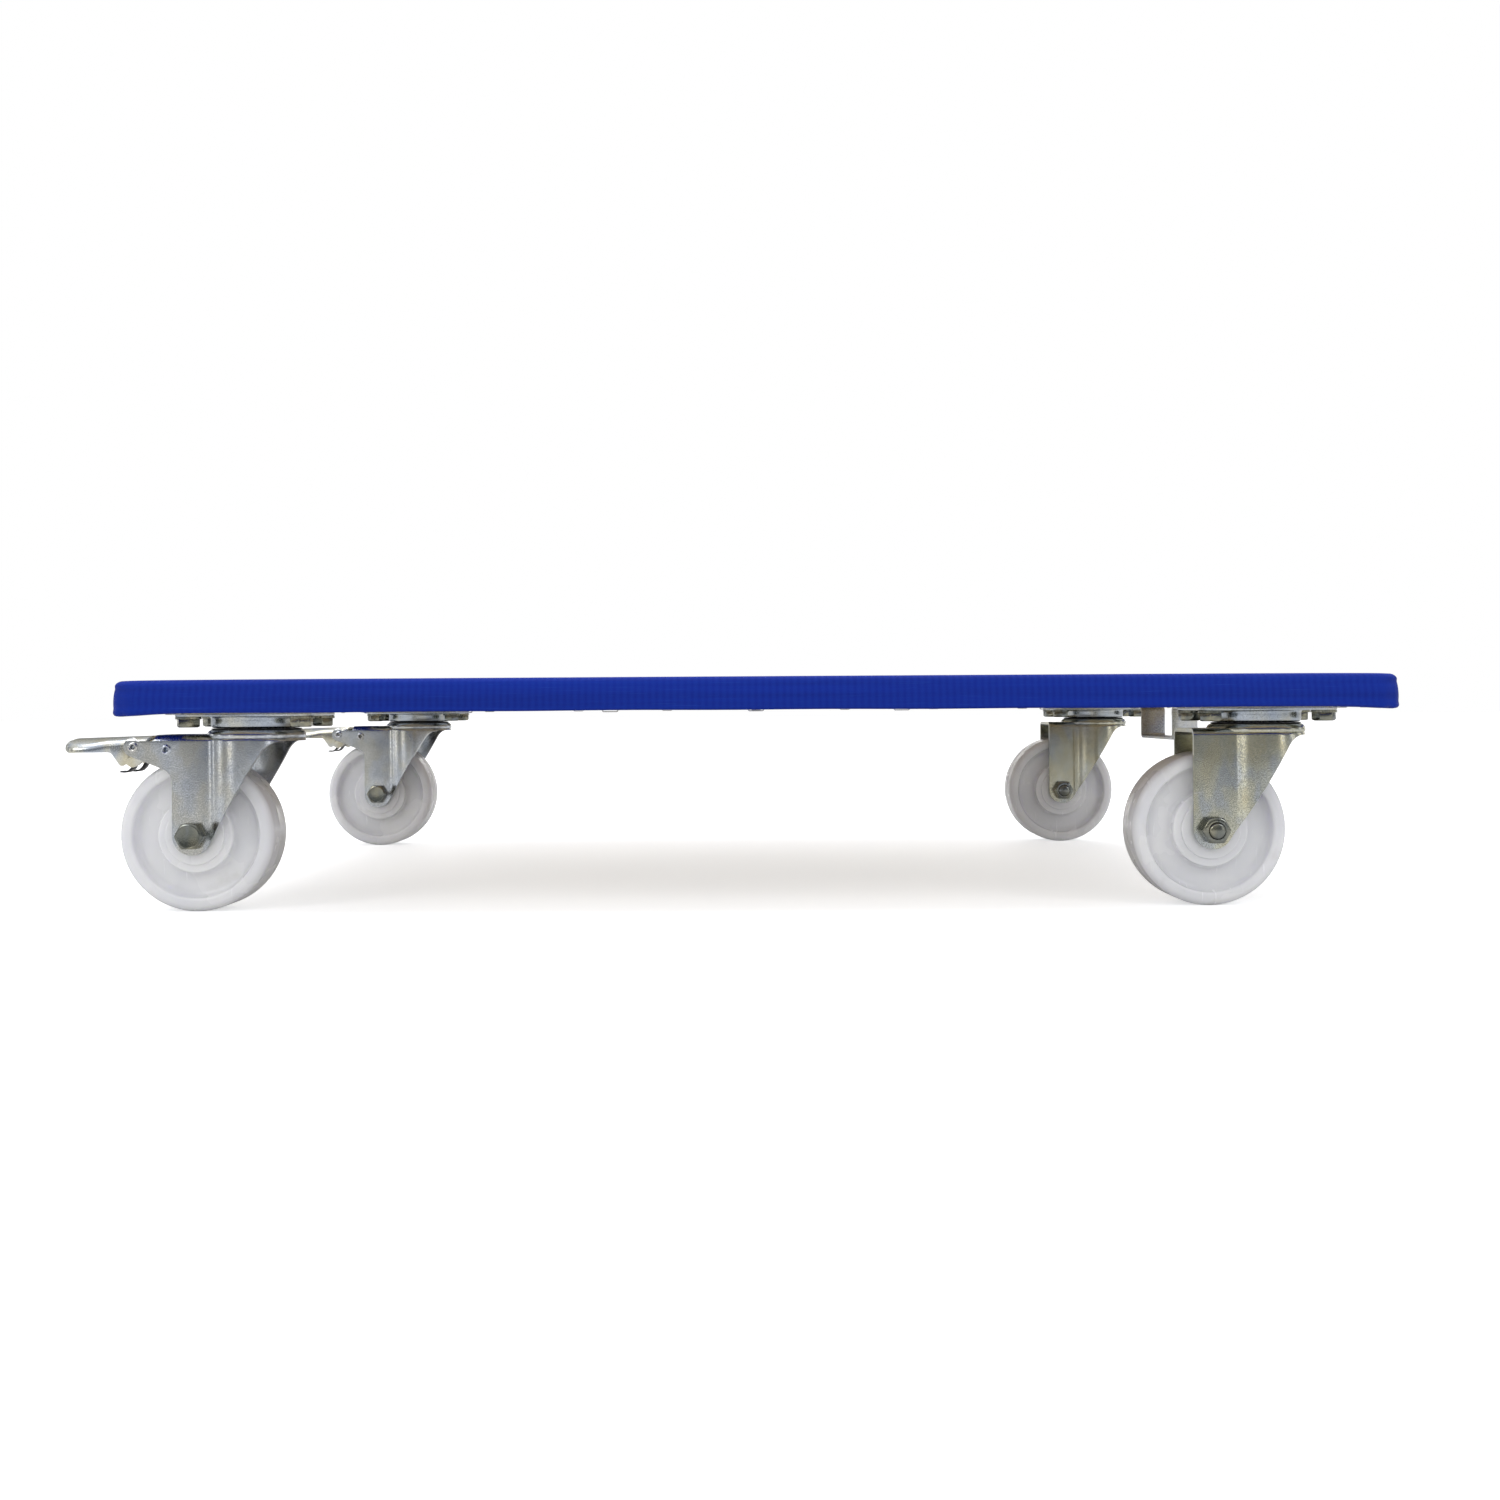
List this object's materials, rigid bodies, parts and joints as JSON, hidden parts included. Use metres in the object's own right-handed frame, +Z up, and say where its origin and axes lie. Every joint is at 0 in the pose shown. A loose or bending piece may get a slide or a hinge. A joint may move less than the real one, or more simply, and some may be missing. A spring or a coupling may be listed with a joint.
{
  "type": "flatbed platform truck",
  "caption": "Low flatbed platform truck: fabric-covered plywood deck on steel swivel casters with nylon wheels, rear foot brakes and a drawbar bracket.",
  "frame": {"origin": "on the floor, at the middle of the overall length (rear brake pedals included) and of the width", "axes": "+Z up, +X towards the end with the drawbar bracket, +Y to the truck's left; the deck's centre is at X = 25 mm"},
  "size_m": [0.85, 0.6, 0.15],
  "materials": {
    "plywood": "bare birch plywood",
    "felt": "needled felt",
    "coated_fabric": "satin PVC-coated square weave",
    "staple_wire": "galvanised wire",
    "strap_zinc": "bright zinc plate",
    "bolt_zinc": "bright zinc plate",
    "zinc_plate": "zinc plate with a blue and straw passivate",
    "hardened_steel": "ground steel",
    "bearing_steel": "polished",
    "black_plastic": "satin",
    "black_spring_steel": "blued spring steel",
    "nylon": "natural white polyamide, glossy"
  },
  "bodies": {
    "deck": {"deck_board": "plywood", "deck_underlay": "felt", "deck_cover": "coated_fabric", "cover_staples": "staple_wire", "drawbar_bracket": "strap_zinc", "bracket_screws": "bolt_zinc", "caster_bolts": "bolt_zinc", "caster_washers": "bolt_zinc", "tee_nuts": "bolt_zinc", "rear_right_plate": "zinc_plate", "rear_right_king_pin": "bolt_zinc", "rear_right_race_cup": "hardened_steel", "rear_left_plate": "zinc_plate", "rear_left_king_pin": "bolt_zinc", "rear_left_race_cup": "hardened_steel", "front_right_plate": "zinc_plate", "front_right_king_pin": "bolt_zinc", "front_right_race_cup": "hardened_steel", "front_left_plate": "zinc_plate", "front_left_king_pin": "bolt_zinc", "front_left_race_cup": "hardened_steel"},
    "rear_right_swivel": {"rear_right_fork": "zinc_plate", "rear_right_bearing_balls": "bearing_steel", "rear_right_dust_seal": "black_plastic", "rear_right_axle_tube": "hardened_steel", "rear_right_axle_bolt": "bolt_zinc", "rear_right_axle_nut": "bolt_zinc", "rear_right_brake_rivets": "bolt_zinc"},
    "rear_right_wheel": {"rear_right_wheel": "nylon", "rear_right_axle_rollers": "bearing_steel"},
    "rear_right_pedal": {"rear_right_brake_pedal": "zinc_plate"},
    "rear_right_leaf": {"rear_right_brake_leaf": "black_spring_steel"},
    "rear_left_swivel": {"rear_left_fork": "zinc_plate", "rear_left_bearing_balls": "bearing_steel", "rear_left_dust_seal": "black_plastic", "rear_left_axle_tube": "hardened_steel", "rear_left_axle_bolt": "bolt_zinc", "rear_left_axle_nut": "bolt_zinc", "rear_left_brake_rivets": "bolt_zinc"},
    "rear_left_wheel": {"rear_left_wheel": "nylon", "rear_left_axle_rollers": "bearing_steel"},
    "rear_left_pedal": {"rear_left_brake_pedal": "zinc_plate"},
    "rear_left_leaf": {"rear_left_brake_leaf": "black_spring_steel"},
    "front_right_swivel": {"front_right_fork": "zinc_plate", "front_right_bearing_balls": "bearing_steel", "front_right_dust_seal": "black_plastic", "front_right_axle_tube": "hardened_steel", "front_right_axle_bolt": "bolt_zinc", "front_right_axle_nut": "bolt_zinc"},
    "front_right_wheel": {"front_right_wheel": "nylon", "front_right_axle_rollers": "bearing_steel"},
    "front_left_swivel": {"front_left_fork": "zinc_plate", "front_left_bearing_balls": "bearing_steel", "front_left_dust_seal": "black_plastic", "front_left_axle_tube": "hardened_steel", "front_left_axle_bolt": "bolt_zinc", "front_left_axle_nut": "bolt_zinc"},
    "front_left_wheel": {"front_left_wheel": "nylon", "front_left_axle_rollers": "bearing_steel"}
  },
  "joints": [
    {"name": "rear_right_swivel_turn", "type": "hinge", "parent": "deck", "child": "rear_right_swivel", "pos_m": [-0.305, -0.23, 0.118], "axis": [0, 0, 1], "continuous": true},
    {"name": "rear_right_wheel_spin", "type": "hinge", "parent": "rear_right_swivel", "child": "rear_right_wheel", "pos_m": [-0.34, -0.23, 0.05], "axis": [0, 1, 0], "continuous": true},
    {"name": "rear_right_pedal_press", "type": "hinge", "parent": "rear_right_swivel", "child": "rear_right_pedal", "pos_m": [-0.3777, -0.23, 0.1076], "axis": [0, -1, 0], "range_deg": [0, 16]},
    {"name": "rear_right_leaf_flex", "type": "hinge", "parent": "rear_right_swivel", "child": "rear_right_leaf", "pos_m": [-0.3562, -0.23, 0.1059], "axis": [0, -1, 0], "range_deg": [0, 12.8]},
    {"name": "rear_left_swivel_turn", "type": "hinge", "parent": "deck", "child": "rear_left_swivel", "pos_m": [-0.305, 0.23, 0.118], "axis": [0, 0, 1], "continuous": true},
    {"name": "rear_left_wheel_spin", "type": "hinge", "parent": "rear_left_swivel", "child": "rear_left_wheel", "pos_m": [-0.34, 0.23, 0.05], "axis": [0, 1, 0], "continuous": true},
    {"name": "rear_left_pedal_press", "type": "hinge", "parent": "rear_left_swivel", "child": "rear_left_pedal", "pos_m": [-0.3777, 0.23, 0.1076], "axis": [0, -1, 0], "range_deg": [0, 16]},
    {"name": "rear_left_leaf_flex", "type": "hinge", "parent": "rear_left_swivel", "child": "rear_left_leaf", "pos_m": [-0.3562, 0.23, 0.1059], "axis": [0, -1, 0], "range_deg": [0, 12.8]},
    {"name": "front_right_swivel_turn", "type": "hinge", "parent": "deck", "child": "front_right_swivel", "pos_m": [0.355, -0.23, 0.118], "axis": [0, 0, 1], "continuous": true},
    {"name": "front_right_wheel_spin", "type": "hinge", "parent": "front_right_swivel", "child": "front_right_wheel", "pos_m": [0.32, -0.23, 0.05], "axis": [0, 1, 0], "continuous": true},
    {"name": "front_left_swivel_turn", "type": "hinge", "parent": "deck", "child": "front_left_swivel", "pos_m": [0.355, 0.23, 0.118], "axis": [0, 0, 1], "continuous": true},
    {"name": "front_left_wheel_spin", "type": "hinge", "parent": "front_left_swivel", "child": "front_left_wheel", "pos_m": [0.32, 0.23, 0.05], "axis": [0, 1, 0], "continuous": true}
  ],
  "couplings": [
    {"joint": "rear_right_leaf_flex", "follows": "rear_right_pedal_press", "ratio": 0.8},
    {"joint": "rear_left_leaf_flex", "follows": "rear_left_pedal_press", "ratio": 0.8}
  ]
}
